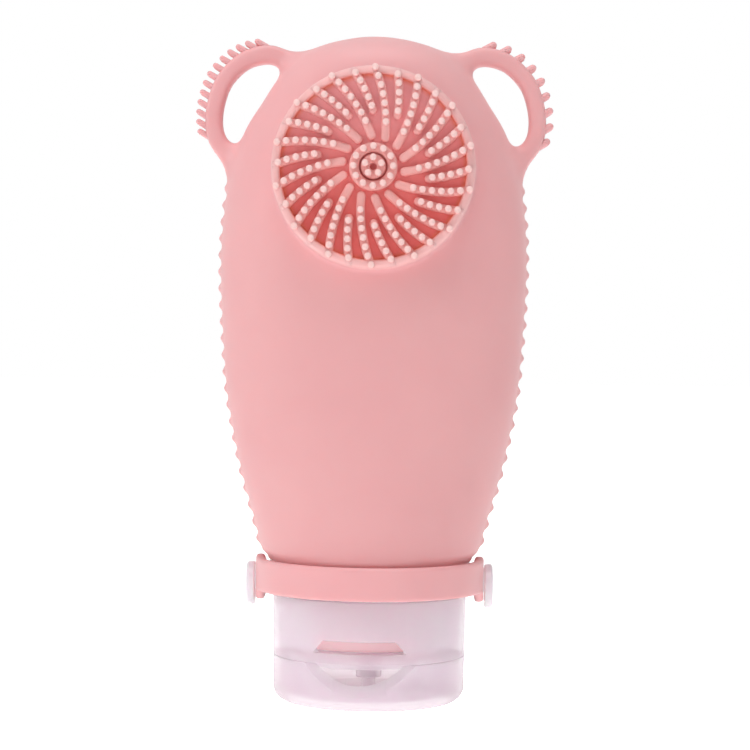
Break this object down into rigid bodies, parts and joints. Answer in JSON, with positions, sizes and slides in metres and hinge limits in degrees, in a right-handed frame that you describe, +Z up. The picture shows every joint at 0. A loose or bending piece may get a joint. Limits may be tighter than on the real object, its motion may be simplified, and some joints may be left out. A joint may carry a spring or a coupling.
{
  "type": "travel dispenser bottle",
  "caption": "Silicone squeeze bottle with ear loops and a round brush, standing on a threaded flip-top cap with a slit valve, and a strap that turns on its collar.",
  "frame": {"origin": "centre of the flat face of the lid that the bottle stands on", "axes": "+Z up along the bottle, +X to the right seen from the front, -Y to the front where the brush is"},
  "size_m": [0.0699, 0.0441, 0.13],
  "materials": {
    "silicone_pink": "satin matte silicone",
    "silicone_pad": "satin matte silicone",
    "silicone_strap": "satin matte silicone",
    "silicone_valve": "satin matte silicone",
    "milky_plastic": "translucent, softly glossy",
    "milky_cap": "translucent, softly glossy",
    "pin_plastic": "translucent, softly glossy"
  },
  "bodies": {
    "bottle": {"bottle_body": "silicone_pink", "ear_left": "silicone_pink", "ear_right": "silicone_pink", "brush_pad": "silicone_pad", "neck_insert": "milky_plastic", "collar_ring": "milky_plastic", "strap_studs": "milky_plastic"},
    "strap": {"carry_strap": "silicone_strap"},
    "valve": {"slit_valve": "silicone_valve"},
    "cap": {"cap_base": "milky_cap", "hinge_pin": "pin_plastic"},
    "lid": {"flip_lid": "milky_cap"}
  },
  "joints": [
    {"name": "strap_swing", "type": "hinge", "parent": "bottle", "child": "strap", "pos_m": [0, 0, 0.0238], "axis": [1, 0, 0], "range_deg": [0, 14]},
    {"name": "cap_rise", "type": "slide", "parent": "bottle", "child": "valve", "axis": [0, 0, -1], "range_m": [0, 0.0044]},
    {"name": "cap_turn", "type": "hinge", "parent": "valve", "child": "cap", "pos_m": [0, 0, 0.015], "axis": [0, 0, -1], "range_deg": [0, 450]},
    {"name": "lid_flip", "type": "hinge", "parent": "cap", "child": "lid", "pos_m": [0.00169, 0.0193, 0.0091], "axis": [0.9962, -0.0872, 0], "range_deg": [0, 135]}
  ],
  "couplings": [
    {"joint": "cap_rise", "follows": "cap_turn", "m_per_rad": 0.00055704}
  ]
}
